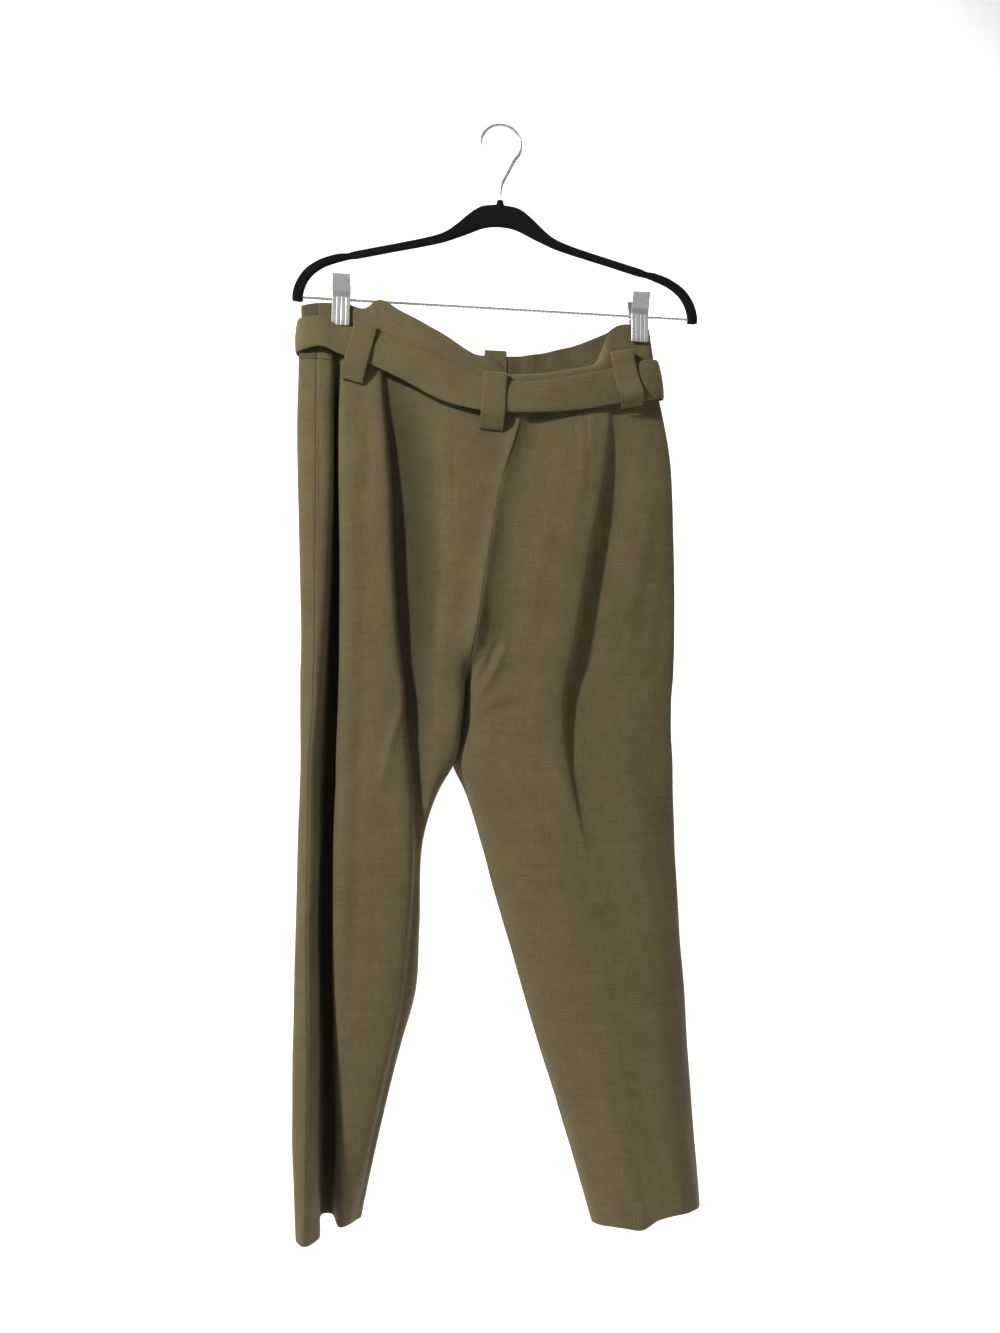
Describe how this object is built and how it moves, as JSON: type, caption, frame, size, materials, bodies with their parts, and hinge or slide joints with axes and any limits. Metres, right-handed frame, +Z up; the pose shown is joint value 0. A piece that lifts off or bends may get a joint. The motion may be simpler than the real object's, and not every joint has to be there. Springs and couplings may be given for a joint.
{
  "type": "paperbag waist trousers on a hanger",
  "caption": "Ankle-length trousers with a gathered stand-up paperbag waist, belt and belt loops, hung by sprung clips from a slim flocked hanger.",
  "frame": {"origin": "inside top of the hanger's hook, where a rail carries it", "axes": "+Z up, +X along the hanger towards the garment's right-hand side as seen from behind it, the garment's back faces -Y"},
  "size_m": [0.4551, 0.111, 1.1856],
  "materials": {
    "trouser_cloth": "fine matte crepe weave with a slight sheen",
    "hanger_flock": "short velvet flock on a slim moulded body",
    "bright_metal": "polished plating"
  },
  "bodies": {
    "root": {"back_left": "trouser_cloth", "back_right": "trouser_cloth", "front_left": "trouser_cloth", "front_right": "trouser_cloth", "band_back_left": "trouser_cloth", "band_back_right": "trouser_cloth", "band_front_left": "trouser_cloth", "band_front_right": "trouser_cloth", "belt": "trouser_cloth", "loop_back_left": "trouser_cloth", "loop_back_centre": "trouser_cloth", "loop_back_right": "trouser_cloth", "loop_front_left": "trouser_cloth", "loop_front_right": "trouser_cloth", "fly_shield": "trouser_cloth", "hanger": "hanger_flock", "hook": "bright_metal", "clip_bar": "bright_metal", "clip_left_back": "bright_metal", "clip_left_front": "bright_metal", "clip_left_spring": "bright_metal", "clip_right_back": "bright_metal", "clip_right_front": "bright_metal", "clip_right_spring": "bright_metal"}
  },
  "joints": []
}
